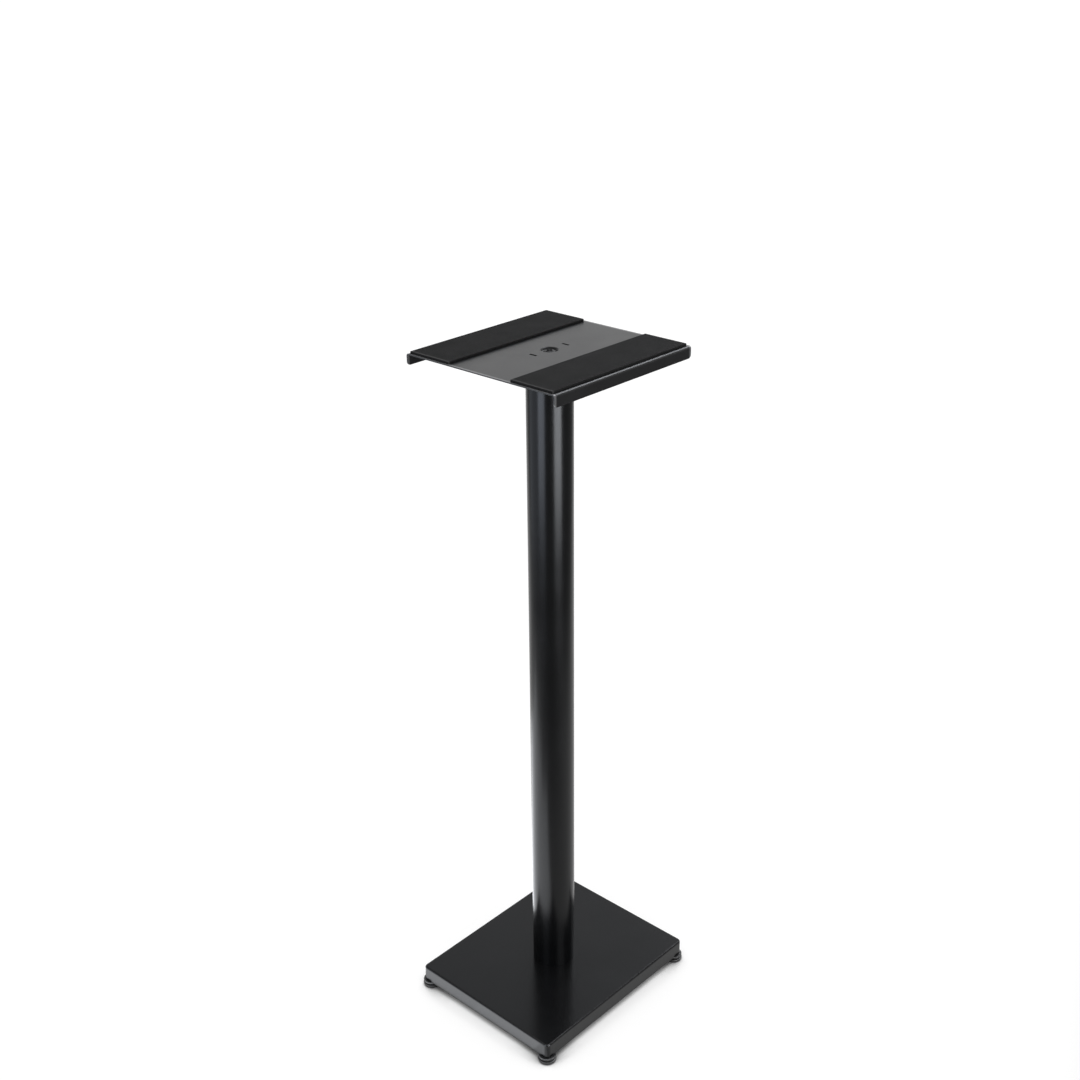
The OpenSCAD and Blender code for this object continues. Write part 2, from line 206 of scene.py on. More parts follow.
def begin(name, **fixed):
    """A material with one Principled BSDF whose named sockets hold the fixed values."""
    material = bpy.data.materials.new(name)
    material.use_nodes = True
    tree = material.node_tree
    tree.nodes.clear()
    shader = add(tree, "ShaderNodeBsdfPrincipled", {key.replace("_", " "): v for key, v in fixed.items()})
    output = add(tree, "ShaderNodeOutputMaterial")
    tree.links.new(shader.outputs["BSDF"], output.inputs["Surface"])
    material.diffuse_color = (0.1, 0.1, 0.1, 1.0)
    return material, tree, shader


def grain(tree, coords, size, detail=2.0, roughness=0.5):
    """Noise from 0 to 1 whose patches are about `size` millimetres across."""
    return add(tree, "ShaderNodeTexNoise", {
        "Vector": coords, "Scale": 1.0 / (size * MM), "Detail": detail, "Roughness": roughness}).outputs[0]


def ranged(tree, value, low, high, start=0.3, end=0.7):
    """Maps start..end of a value onto low..high, held at both ends."""
    return add(tree, "ShaderNodeMapRange", {
        "Value": value, "From Min": start, "From Max": end, "To Min": low, "To Max": high}).outputs[0]


def tinted(tree, factor, dark, light):
    """Blend from a dark to a light colour. Either may be the socket of another colour."""
    sides = [side if isinstance(side, bpy.types.NodeSocket) else (*side, 1.0) for side in (dark, light)]
    return add(tree, "ShaderNodeMix", {0: factor, 6: sides[0], 7: sides[1]}, data_type="RGBA").outputs[2]


def bumped(tree, height, depth, below=None):
    """Bump of `depth` millimetres over another bump."""
    inputs = {"Height": height, "Distance": depth * MM, "Strength": 1.0}
    if below is not None:
        inputs["Normal"] = below
    return add(tree, "ShaderNodeBump", inputs).outputs[0]


def object_coords(tree):
    """The piece's own coordinates, in metres."""
    return add(tree, "ShaderNodeTexCoord").outputs["Object"]


def painted_highlight_ends(tree, coords, colour, start, end, stop, light):
    """The colour, turning to a lighter one on top along both cut ends, as a painted highlight: it sets in
    between two distances on Y and stops short of the cut face. Distances in mm."""
    along = add(tree, "ShaderNodeSeparateXYZ", {0: coords}).outputs["Y"]
    out = add(tree, "ShaderNodeMath", {0: along}, operation="ABSOLUTE").outputs[0]
    edge = add(tree, "ShaderNodeMath", {
        0: ranged(tree, out, 0.0, 1.0, start * MM, end * MM),
        1: ranged(tree, out, 1.0, 0.0, stop * MM, (stop + 0.2) * MM)}, operation="MULTIPLY").outputs[0]
    return tinted(tree, edge, colour, light)


def powder_coat(name, dark, light, gloss, peel_size, peel_depth, grain_depth, ior, ends=None):
    """Satin black powder coat: soft clouds in colour and gloss, orange peel, and a fine grain in it. It
    may carry a painted highlight: a lighter band along its cut ends."""
    material, tree, shader = begin(name, IOR=ior)
    coords = object_coords(tree)
    clouds = grain(tree, coords, 45.0, 3.0)
    peel = grain(tree, coords, peel_size, 2.0)
    fine = grain(tree, coords, peel_size / 4.0, 2.0, 0.7)
    colour = tinted(tree, ranged(tree, clouds, 0.0, 1.0), dark, light)
    # Painted highlight: a lighter band along the cut ends, where one is given
    if ends:
        colour = painted_highlight_ends(tree, coords, colour, *ends)
    tree.links.new(colour, shader.inputs["Base Color"])
    rough = add(tree, "ShaderNodeMath", {
        0: ranged(tree, clouds, gloss - 0.02, gloss + 0.02), 1: ranged(tree, fine, -0.03, 0.03)})
    tree.links.new(rough.outputs[0], shader.inputs["Roughness"])
    normal = bumped(tree, peel, peel_depth)
    tree.links.new(bumped(tree, fine, grain_depth, normal), shader.inputs["Normal"])
    return material


def foam_rubber(name):
    """Dense black foam rubber: matt, with fine open cells and slightly lighter dusty clouds."""
    material, tree, shader = begin(
        name, Specular_IOR_Level=0.05, Sheen_Weight=0.008, Sheen_Roughness=0.5)
    coords = object_coords(tree)
    clouds = grain(tree, coords, 30.0, 4.0, 0.6)
    speckle = grain(tree, coords, 0.7, 2.0, 0.7)
    cells = add(tree, "ShaderNodeTexVoronoi", {"Vector": coords, "Scale": 1.0 / (0.9 * MM)})
    mixed = add(tree, "ShaderNodeMath", {
        0: ranged(tree, clouds, 0.0, 0.5), 1: ranged(tree, speckle, 0.0, 0.5)})
    colour = tinted(tree, mixed.outputs[0], (0.008, 0.008, 0.0082), (0.016, 0.016, 0.0163))
    # Painted highlight: a lighter band along the pads' cut ends
    tree.links.new(painted_highlight_ends(tree, coords, colour, *FOAM_HIGHLIGHT_ENDS), shader.inputs["Base Color"])
    tree.links.new(ranged(tree, speckle, 0.72, 0.9), shader.inputs["Roughness"])
    normal = bumped(tree, cells.outputs["Distance"], 0.10)
    tree.links.new(bumped(tree, speckle, 0.08, normal), shader.inputs["Normal"])
    return material


def moulded(name, dark, light, gloss, texture_depth):
    """Moulded black plastic or rubber: a fine spark-eroded texture, its depth in mm, and slight flow
    clouds."""
    material, tree, shader = begin(name, IOR=1.5)
    coords = object_coords(tree)
    clouds = grain(tree, coords, 9.0, 3.0)
    texture = grain(tree, coords, 0.35, 2.0, 0.6)
    tree.links.new(tinted(tree, ranged(tree, clouds, 0.0, 1.0), dark, light), shader.inputs["Base Color"])
    tree.links.new(ranged(tree, texture, gloss - 0.05, gloss + 0.07), shader.inputs["Roughness"])
    tree.links.new(bumped(tree, texture, texture_depth), shader.inputs["Normal"])
    return material


def plated_metal(name, dark, light, gloss, brush_depth, turn=None):
    """Plated or turned metal: cloudy plating, and fine tool marks square to the piece's own axis."""
    material, tree, shader = begin(name, Metallic=1.0)
    coords = object_coords(tree)
    if turn is not None:
        coords = add(tree, "ShaderNodeMapping", {"Vector": coords, "Rotation": turn}).outputs[0]
    clouds = grain(tree, coords, 4.0, 4.0, 0.6)
    fine = grain(tree, coords, 0.25, 2.0)
    marks = add(tree, "ShaderNodeTexWave", {
        "Vector": coords, "Scale": 1.0 / (0.9 * MM), "Distortion": 0.6, "Detail": 2.0},
        wave_type="BANDS", bands_direction="X" if turn is not None else "Z")
    tree.links.new(tinted(tree, ranged(tree, clouds, 0.0, 1.0), dark, light), shader.inputs["Base Color"])
    tree.links.new(ranged(tree, fine, gloss - 0.06, gloss + 0.08), shader.inputs["Roughness"])
    normal = bumped(tree, marks.outputs[1], brush_depth)
    tree.links.new(bumped(tree, fine, brush_depth, normal), shader.inputs["Normal"])
    return material


# Surfaces: rows of points, computed as whole arrays

def round_steps(steps):
    """Cosines and sines of equal steps round a turn, counter-clockwise from above."""
    turn = np.arange(steps) * (2 * np.pi / steps)
    return np.cos(turn), np.sin(turn)


def eased(corners, ease, steps):
    """Profile through the corners. Each inner corner becomes a quadratic curve that starts and ends `ease`
    away from it, or halfway along a side that is too short: (1-t)^2 a + 2t(1-t) corner + t^2 b."""
    p = np.asarray(corners, float)
    t = np.linspace(0.0, 1.0, steps + 1)[:, None]
    parts = [p[:1]]
    for before, here, after in zip(p[:-2], p[1:-1], p[2:]):
        a = here + (before - here) * min(0.5, ease / np.linalg.norm(before - here))
        b = here + (after - here) * min(0.5, ease / np.linalg.norm(after - here))
        parts.append((1 - t) ** 2 * a + 2 * t * (1 - t) * here + t ** 2 * b)
    return np.concatenate(parts + [p[-1:]])


def turned(profile, steps):
    """Surface of revolution: each (radius, height) point goes once round the upright axis."""
    cos, sin = round_steps(steps)
    r, z = np.asarray(profile, float).T
    return np.stack([r[:, None] * cos, r[:, None] * sin, np.repeat(z[:, None], steps, 1)], -1)


def skin(rings, rows="open"):
    """Quads over rings[row, step, xyz] with the steps closed round. Rows are open, joined (the last row
    meets the first) or capped (a fan to the middle of the first and of the last row). Rows that go up
    with counter-clockwise steps face outwards."""
    count, steps = rings.shape[:2]
    index = np.arange(count * steps).reshape(count, steps)
    if rows == "joined":
        index = np.vstack([index, index[:1]])
    ahead = np.roll(index, -1, axis=1)
    quads = np.stack([index[:-1], ahead[:-1], ahead[1:], index[1:]], -1).reshape(-1, 4)
    points = rings.reshape(-1, 3)
    faces = quads.tolist()
    if rows == "capped":
        low, high = index[0], index[-1]
        points = np.vstack([points, rings[0].mean(0), rings[-1].mean(0)])
        low_hub = np.full(steps, len(points) - 2)
        high_hub = np.full(steps, len(points) - 1)
        faces += np.stack([np.roll(low, -1), low, low_hub], -1).tolist()
        faces += np.stack([high, np.roll(high, -1), high_hub], -1).tolist()
    return points, faces


def cells(points, keep):
    """Quads over points[column, row, xyz], only where keep[column, row] says so. Columns that go along +X
    and rows along +Y face up."""
    columns, rows = points.shape[:2]
    index = np.arange(columns * rows).reshape(columns, rows)
    quads = np.stack([index[:-1, :-1], index[1:, :-1], index[1:, 1:], index[:-1, 1:]], -1)
    return points.reshape(-1, 3), quads[keep].tolist()


def make_piece(name, surfaces, material):
    """One object from a list of (points, faces) in millimetres. Doubled points are merged and unused ones
    are taken away."""
    points, faces, start = [], [], 0
    for some_points, some_faces in surfaces:
        points.append(some_points)
        faces += [[start + i for i in face] for face in some_faces]
        start += len(some_points)
    mesh = bpy.data.meshes.new(name)
    mesh.from_pydata((np.concatenate(points) * MM).tolist(), [], faces)
    edit = bmesh.new()
    edit.from_mesh(mesh)
    bmesh.ops.remove_doubles(edit, verts=edit.verts, dist=1e-7)
    bmesh.ops.dissolve_degenerate(edit, edges=edit.edges, dist=1e-8)
    bmesh.ops.delete(edit, geom=[v for v in edit.verts if not v.link_faces], context="VERTS")
    edit.to_mesh(mesh)
    edit.free()
    mesh.materials.append(material)
    piece = bpy.data.objects.new(name, mesh)
    bpy.context.scene.collection.objects.link(piece)
    return piece


def smooth(piece, angle):
    """Smooth shading, with edges sharper than the angle in degrees kept."""
    piece.data.shade_smooth()
    piece.data.set_sharp_from_angle(angle=np.radians(angle))
    return piece


def finished(piece, *modifiers):
    """Adds (kind, settings) modifiers and puts their result into the piece's mesh."""
    for kind, settings in modifiers:
        modifier = piece.modifiers.new(kind.title(), kind)
        for key, value in settings.items():
            setattr(modifier, key, value)
    shape = bpy.data.meshes.new_from_object(piece.evaluated_get(bpy.context.evaluated_depsgraph_get()))
    piece.modifiers.clear()
    piece.data = shape
    return piece


FLAT_FACES = ("WEIGHTED_NORMAL", {"keep_sharp": True, "weight": 80})


def at_corner(rings, corner):
    """The same surface with its axis at the foot of a corner."""
    side_x, side_y = CORNERS[corner]
    return rings + np.array([side_x * FOOT_X, side_y * FOOT_Y, 0.0])


# Sheet metal

def outline(x0, y0, x1, y1, corner_r, corner_steps=10, side_steps=12):
    """Closed track round a rectangle, counter-clockwise from its upper right: at a corner the point stands
    still and its outward normal turns a quarter, along a side the point moves and the normal stands still.
    A ring at distance r is point + r * normal, so the track runs corner_r inside the rectangle."""
    inner = np.array([[x1, y1], [x0, y1], [x0, y0], [x1, y0]]) + corner_r * np.array(
        [[-1, -1], [1, -1], [1, 1], [-1, 1]])
    quarter = np.linspace(0.0, np.pi / 2, corner_steps + 1)
    along = np.linspace(0.0, 1.0, side_steps + 1)[1:-1, None]
    points, turns = [], []
    for k in range(4):
        here, after = inner[k], inner[(k + 1) % 4]
        points += [np.repeat([here], corner_steps + 1, 0), here + along * (after - here)]
        turns += [quarter + k * np.pi / 2, np.full(side_steps - 1, (k + 1) * np.pi / 2)]
    turns = np.concatenate(turns)
    return np.concatenate(points), np.stack([np.cos(turns), np.sin(turns)], -1)


def swept(track, profile):
    """Rings of a profile of (distance, height) points carried along the track."""
    points, normals = track
    r, z = np.asarray(profile, float).T
    flat = points[None] + r[:, None, None] * normals[None]
    return np.concatenate([flat, np.repeat(z[:, None, None], len(points), 1)], -1)


def hub_rings(track, radii, heights):
    """Rings on circles about the centre, each point in the direction of the track's point beside it."""
    points, normals = track
    direction = points + normals
    direction = direction / np.linalg.norm(direction, axis=1, keepdims=True)
    return np.stack([np.column_stack([r * direction, np.full(len(direction), z)])
                     for r, z in zip(radii, heights)])


def arc(middle, radius, start, end, steps):
    """Points of a circle's arc between two angles in degrees."""
    turn = np.radians(np.linspace(start, end, steps + 1))
    return np.asarray(middle) + radius * np.column_stack([np.cos(turn), np.sin(turn)])


def base_pan():
    """Folded tray, open below: from the bolt hole under the top sheet, out to the bend, down the inside of
    the skirt, round its eased edge, up the outside, over the outer bend and back in to the hole. The
    profile is carried round a rectangle whose corners are quarter circles."""
    track = outline(-BASE_W / 2, -BASE_D / 2, BASE_W / 2, BASE_D / 2, BASE_CORNER_R)
    r = BASE_CORNER_R
    bend = (r - BASE_BEND_R, BASE_TOP_Z - BASE_BEND_R)
    edge = SHEET_EASE
    skirt = np.concatenate([
        [[bend[0] - 2.0, PAN_UNDER_Z]],
        arc(bend, BASE_BEND_R - SHEET_T, 90, 0, 5),
        [[r - SHEET_T, SKIRT_Z + 2.0], [r - SHEET_T, SKIRT_Z + edge]],
        arc((r - SHEET_T + edge, SKIRT_Z + edge), edge, 180, 270, 3),
        arc((r - edge, SKIRT_Z + edge), edge, 270, 360, 3),
        [[r, SKIRT_Z + edge + 1.0], [r, bend[1] - 1.0]],
        arc(bend, BASE_BEND_R, 0, 90, 10),
        [[bend[0] - 1.0, BASE_TOP_Z]]])
    reach = [BOLT_HOLE_R, BOLT_HOLE_R + 20.0, COLUMN_R + 40.0]
    rings = np.concatenate([
        hub_rings(track, reach, [PAN_UNDER_Z] * 3), swept(track, skirt),
        hub_rings(track, reach[::-1], [BASE_TOP_Z] * 3)])
    piece = smooth(make_piece("base_tray", [skin(rings, "joined")], COAT), 50.0)
    return finished(piece, FLAT_FACES)


def column_tube():
    """Round tube with two tabs at each end: outer wall, end edge, inner wall, end edge. Each end's height
    is a step function of the angle, with doubled steps where a tab begins."""
    tab_turns = np.radians([90.0, 270.0])
    starts, ends = tab_turns - TAB_HALF_ANGLE, tab_turns + TAB_HALF_ANGLE
    edges = np.concatenate([starts, ends])
    turn = np.concatenate([np.arange(COLUMN_STEPS) * 2 * np.pi / COLUMN_STEPS, edges, edges + 1e-9])
    turn = np.sort(turn)
    on_tab = ((turn[None] > starts[:, None] + 5e-10) & (turn[None] < ends[:, None] + 5e-10)).any(0)
    low = BASE_TOP_Z - TAB_H * on_tab
    high = COLUMN_TOP_Z + TOP_TAB_H * on_tab
    ease = COLUMN_EASE
    inner = COLUMN_R - COLUMN_WALL
    levels = np.linspace(0.0, 1.0, 9)[1:-1]
    rows = [(COLUMN_R - ease, low), (COLUMN_R - ease * 0.3, low + ease * 0.3), (COLUMN_R, low + ease)]
    rows += [(COLUMN_R, BASE_TOP_Z + (COLUMN_TOP_Z - BASE_TOP_Z) * level + 0 * turn) for level in levels]
    rows += [(COLUMN_R, high - ease), (COLUMN_R - ease * 0.3, high - ease * 0.3), (COLUMN_R - ease, high),
             (inner, high), (inner, high - 2.0), (inner, low + 2.0), (inner, low)]
    rings = np.stack([np.stack([r * np.cos(turn), r * np.sin(turn), z], -1) for r, z in rows])
    piece = smooth(make_piece("column_pipe", [skin(rings, "joined")], COLUMN_COAT), 40.0)
    return finished(piece, FLAT_FACES)


def plate_lines():
    """X and Y places of the top plate's grid lines: the tab slots, the square round the dish, and the
    flanges' round lower corners as equal steps of a quarter circle."""
    side = np.linspace(-DISH_SQUARE, -SLOT_HALF_W, 5)
    middle = np.linspace(-SLOT_HALF_W, SLOT_HALF_W, 9)
    inside = np.concatenate([side, middle[1:-1], -side[::-1]])
    flat = PLATE_W / 2 - PLATE_BEND_R
    outside = np.array([25.0, 50.0, 90.0, flat - 1.0, flat])
    x = np.concatenate([-outside[::-1], inside, outside])
    quarter = np.sin(np.linspace(0.0, np.pi / 2, 11))
    end = PLATE_D / 2 - FLANGE_CORNER_R + FLANGE_CORNER_R * quarter
    far = np.concatenate([[SLOT_NEAR_Y, SLOT_FAR_Y, 50.0, 80.0], end])
    y = np.concatenate([-far[::-1], inside, far])
    return x, y, inside


def top_plate():
    """Folded sheet with two flanges and a dished seat. Its outer face is a strip across X - up the left
    flange, round the bend, over the top and down again - carried along Y, whose lower edge rises as a
    quarter circle at both ends. The cells of the slots and of the square round the dish stay out; rings
    go from that square to the dish's circle, down its wall and in to the bolt hole. The sheet's thickness
    is then laid behind the face, and its edges are eased."""
    x, y, inside = plate_lines()
    half = PLATE_W / 2
    bend = np.array([half - PLATE_BEND_R, PLATE_TOP_Z - PLATE_BEND_R])
    past = np.maximum(0.0, np.abs(y) - (PLATE_D / 2 - FLANGE_CORNER_R))
    foot = PLATE_TOP_Z - PLATE_FLANGE_H + FLANGE_CORNER_R - np.sqrt(FLANGE_CORNER_R ** 2 - past ** 2)
    drop = np.linspace(0.0, 1.0, 6)[1:, None]
    fold = arc(bend, PLATE_BEND_R, 90, 0, 10)
    down = bend[1] + drop * (foot - bend[1])
    right_x = np.concatenate([fold[1:, 0], np.full(5, half)])
    right_z = np.concatenate([np.repeat(fold[1:, 1:], len(y), 1), down])
    strip_x = np.concatenate([-right_x[::-1], x, right_x])
    strip_z = np.concatenate([right_z[::-1], np.full((len(x), len(y)), PLATE_TOP_Z), right_z])
    points = np.stack([
        np.repeat(strip_x[:, None], len(y), 1), np.repeat(y[None], len(strip_x), 0), strip_z], -1)

    middle_x = (strip_x[1:] + strip_x[:-1]) / 2
    middle_y = (y[1:] + y[:-1]) / 2
    in_square = (np.abs(middle_x) < DISH_SQUARE)[:, None] & (np.abs(middle_y) < DISH_SQUARE)[None]
    in_slot_y = (np.abs(middle_y) > SLOT_NEAR_Y) & (np.abs(middle_y) < SLOT_FAR_Y)
    in_slot = (np.abs(middle_x) < SLOT_HALF_W)[:, None] & in_slot_y[None]
    surface = cells(points, ~(in_square | in_slot))

    side, back = inside[:-1], inside[::-1][:-1]
    full = np.full(len(side), DISH_SQUARE)
    square = np.column_stack([
        np.concatenate([side, full, back, -full]), np.concatenate([-full, side, full, back])])
    direction = square / np.linalg.norm(square, axis=1, keepdims=True)
    seat_z = PLATE_TOP_Z - DISH_DEPTH
    dish = eased([(DISH_R + DISH_LIP, PLATE_TOP_Z), (DISH_R, PLATE_TOP_Z), (DISH_FLOOR_R, seat_z),
                  (BOLT_HOLE_R, seat_z)], DISH_EASE, 5)
    rows = [np.column_stack([square, np.full(len(square), PLATE_TOP_Z)])]
    rows += [np.column_stack([r * direction, np.full(len(square), z)]) for r, z in dish]
    piece = make_piece("top_shelf", [surface, skin(np.stack(rows))], PLATE_COAT)
    finished(
        piece,
        ("SOLIDIFY", {"thickness": SHEET_T * MM, "offset": -1.0, "use_even_offset": True}),
        ("BEVEL", {"width": SHEET_EASE * MM, "segments": 3, "limit_method": "ANGLE",
                   "angle_limit": np.radians(40.0)}))
    return finished(smooth(piece, 45.0), FLAT_FACES)


# Cushion pads

def rest_pad(side):
    """Die-cut foam pad: upright cut sides, an edge rolled over as a quarter circle, and a flat top, as
    rings of the rounded outline drawn in to a centre line."""
    x0, x1 = PAD_X[side]
    track = outline(x0, PAD_Y[0], x1, PAD_Y[1], PAD_CORNER_R, 6, 20)
    r = PAD_CORNER_R
    top = PLATE_TOP_Z + PAD_T
    side_profile = np.concatenate([
        [[r - PAD_CHAMFER, PLATE_TOP_Z], [r, PLATE_TOP_Z + PAD_CHAMFER]],
        arc((r - PAD_EDGE_R, top - PAD_EDGE_R), PAD_EDGE_R, 0, 90, 6)])
    wall = swept(track, side_profile)
    edge = wall[-1]
    spine = edge.copy()
    spine[:, 0] = (x0 + x1) / 2
    spine[:, 1] = np.clip(edge[:, 1], PAD_Y[0] + PAD_SPINE_INSET, PAD_Y[1] - PAD_SPINE_INSET)
    inward = np.linspace(0.0, 1.0, 9)[1:, None, None]
    cover = edge + inward * (spine - edge)
    under = cover[::-1].copy()
    under[..., 2] = PLATE_TOP_Z
    rings = np.concatenate([under, wall, cover])
    piece = make_piece(f"cushion_{side}", [skin(rings)], FOAM)
    return finished(smooth(piece, 50.0), FLAT_FACES)


# Turned and screwed pieces

def threaded(low, high, crest, depth, pitch, steps=48, chamfer=0.8, rows_per_pitch=10):
    """Rings of a right-hand thread: radius = crest - depth * v, where v is a triangular wave of
    height / pitch - angle / turn, and the crest falls off over the chamfer at the free end."""
    count = int((high - low) / pitch * rows_per_pitch) + 1
    z = np.linspace(low, high, count)[:, None]
    cos, sin = round_steps(steps)
    turn = (np.arange(steps) / steps)[None]
    phase = (z / pitch - turn) % 1.0
    v = np.clip(1.25 * (1.0 - np.abs(2.0 * phase - 1.0)) - 0.12, 0.0, 1.0)
    limit = crest - np.clip(chamfer - (high - z), 0.0, chamfer)
    r = np.minimum(crest - depth * v, limit)
    return np.stack([r * cos, r * sin, np.repeat(z, steps, 1)], -1)


def drawn_in(ring):
    """A ring at half its distance from the axis, to close a threaded end."""
    return ring * np.array([0.5, 0.5, 1.0])


def turned_over(rings):
    """The same surface upside down, its rows still going up and its steps counter-clockwise."""
    over = rings[::-1] * np.array([1.0, -1.0, -1.0])
    return np.roll(over[:, ::-1], 1, axis=1)


def foot_stud(corner):
    """Stud of a foot: captive head and neck below the wheel, then the thread."""
    lower = eased([
        (AXIS_R, STUD_HEAD_Z), (STUD_HEAD_R, STUD_HEAD_Z), (STUD_HEAD_R, STUD_NECK_Z),
        (STUD_NECK_R, STUD_NECK_Z), (STUD_NECK_R, WHEEL_Z), (STUD_R, WHEEL_Z),
        (STUD_R, WHEEL_Z + WHEEL_T)], 0.2, 3)
    thread = threaded(WHEEL_Z + WHEEL_T + 0.1, STUD_TOP_Z, STUD_R, STUD_THREAD_DEPTH, STUD_PITCH)
    rings = np.concatenate([turned(lower, 48), thread, drawn_in(thread[-1:])])
    return smooth(make_piece(f"stud_{corner}", [skin(at_corner(rings, corner), "capped")], ZINC), 50.0)


def foot_wheel(corner):
    """Finger wheel: a disc whose rim is a ring of shallow flutes, radius = r - depth * cos^4(n angle / 2),
    with eased edges that carry the flutes in, and a bore for the stud."""
    steps = WHEEL_FLUTES * 8
    cos, sin = round_steps(steps)
    flute = WHEEL_FLUTE_DEPTH * np.cos(np.arange(steps) * np.pi / 8) ** 4
    top = WHEEL_Z + WHEEL_T
    edge = WHEEL_EDGE_R
    profile = np.concatenate([
        [[WHEEL_BORE_R, top - 0.2], [WHEEL_BORE_R, WHEEL_Z + 0.2], [WHEEL_BORE_R + 0.2, WHEEL_Z],
         [WHEEL_FACE_R, WHEEL_Z]],
        arc((WHEEL_R - edge, WHEEL_Z + edge), edge, 270, 360, 5),
        arc((WHEEL_R - edge, top - edge), edge, 0, 90, 5),
        [[WHEEL_FACE_R, top], [WHEEL_BORE_R + 0.2, top]]])
    r, z = profile.T
    share = np.clip((r - WHEEL_FLUTES_FROM_R) / (WHEEL_R - WHEEL_FLUTES_FROM_R), 0.0, 1.0)[:, None]
    radius = r[:, None] - share * flute
    rings = np.stack([radius * cos, radius * sin, np.repeat(z[:, None], steps, 1)], -1)
    return smooth(make_piece(f"wheel_{corner}", [skin(at_corner(rings, corner), "joined")], PLASTIC), 50.0)


def foot_pad(corner):
    """Rubber-soled foot: a sole ring under a thin groove, a rounded side, a chamfer and a ledge up to the
    raised middle, and the socket in which the stud's head turns."""
    rings = turned(np.concatenate([FOOT_PAD_UNDER, eased(FOOT_PAD_OUTSIDE, 0.22, 3)]), 96)
    return smooth(make_piece(f"glide_{corner}", [skin(at_corner(rings, corner), "capped")], RUBBER), 50.0)


def top_bolt():
    """Pan head with a cross recess. The head's top is a height field on rings: a dome that rolls over at
    the rim, less a recess whose depth fades with the distance to two crossed slots and a tapered core.
    Its side and the shank are turned below it."""
    floor = PLATE_TOP_Z - DISH_DEPTH
    steps = 160
    cos, sin = round_steps(steps)
    r = np.concatenate([np.linspace(BOLT_R, 5.2, 14), np.linspace(5.1, 0.05, 46)])[:, None]
    x, y = r * cos, r * sin
    roll = BOLT_ROLL_R
    past = np.clip(r - (BOLT_R - roll), 0.0, roll)
    dome = BOLT_H - 0.5 * (roll - np.sqrt(roll ** 2 - past ** 2)) - r ** 2 / (2 * BOLT_DOME_R) + 0.0 * x

    def slot(along, across):
        outside = np.maximum(np.abs(along) - CROSS_HALF_L, np.abs(across) - CROSS_HALF_W)
        return np.clip(0.5 - outside / CROSS_SLOT_SLOPE, 0.0, 1.0)

    core = np.clip((CROSS_CORE_R - r) / CROSS_CORE_SLOPE, 0.0, 1.0) + 0.0 * x
    cut = np.maximum(np.maximum(slot(x, y), slot(y, x)), core)
    cut = cut * cut * (3.0 - 2.0 * cut)
    head = np.stack([x, y, floor + dome - CROSS_DEPTH * cut], -1)
    low = floor - BOLT_SHANK_L
    shank = turned_over(threaded(
        -(floor - 1.0), -low, BOLT_SHANK_R, BOLT_THREAD_DEPTH, BOLT_PITCH, steps, 0.8, 8))
    neck = turned([
        (BOLT_SHANK_R, floor - 0.9), (BOLT_SHANK_R, floor),
        (BOLT_R - BOLT_EDGE, floor), (BOLT_R, floor + BOLT_EDGE)], steps)
    rings = np.concatenate([drawn_in(shank[:1]), shank, neck, head])
    return smooth(make_piece("seat_bolt", [skin(rings, "capped")], BOLT_BLACK), 40.0)


def spike(number):
    """Floor spike lying on its side: thread, neck, a grip with a diamond knurl - radius = r - depth *
    (1 - lower of two crossed triangular waves) - and a smooth cone with a rounded tip."""
    steps = 96
    cos, sin = round_steps(steps)
    thread = turned_over(threaded(
        -SPIKE_THREAD_L, -0.01, SPIKE_R, SPIKE_THREAD_DEPTH, SPIKE_PITCH, steps, 0.6))
    grip_start = SPIKE_THREAD_L + 0.5
    grip_end = SPIKE_THREAD_L + SPIKE_GRIP_L
    z = np.linspace(grip_start, grip_end, 92)[:, None]
    turn = (np.arange(steps) / steps)[None]

    def wave(phase):
        return 1.0 - np.abs(2.0 * (phase % 1.0) - 1.0)

    around, up = KNURL_RIDGES * turn, z / KNURL_RISE
    ridge = np.minimum(wave(around + up), wave(around - up))
    fade = np.clip(np.minimum(z - z[0], z[-1] - z) / 0.5, 0.0, 1.0)
    r = SPIKE_R - 0.12 - KNURL_DEPTH * (1.0 - np.clip(ridge * 2.0, 0.0, 1.0)) * fade
    grip = np.stack([r * cos, r * sin, np.repeat(z, steps, 1)], -1)
    total = grip_end + SPIKE_CONE_L
    neck = turned([
        (SPIKE_NECK_R, SPIKE_THREAD_L), (SPIKE_NECK_R, SPIKE_THREAD_L + 0.25),
        (SPIKE_R - 0.15, grip_start)], steps)
    cone = turned(eased([
        (SPIKE_R - 0.12, grip_end + 0.02), (SPIKE_R - 0.25, grip_end + 0.3),
        (SPIKE_TIP_R, total - SPIKE_TIP_R * 0.6), (0.02, total)], 0.4, 5), steps)
    rings = np.concatenate([drawn_in(thread[:1]), thread, neck, grip, cone])
    across = (number - 2.5) * SPIKE_SPACING
    along = SPIKE_DISTANCE - total / 2
    x, y = rings[..., 2] + along, rings[..., 1] + across
    z = -rings[..., 0] + BASE_TOP_Z + SPIKE_R + SPIKE_LIE
    cos_h, sin_h = np.cos(SPIKE_HEADING), np.sin(SPIKE_HEADING)
    placed = np.stack([x * cos_h - y * sin_h, x * sin_h + y * cos_h, z], -1)
    return smooth(make_piece(f"floor_spike_{number}", [skin(placed, "capped")], BRASS), 50.0)


# Camera, floor and light

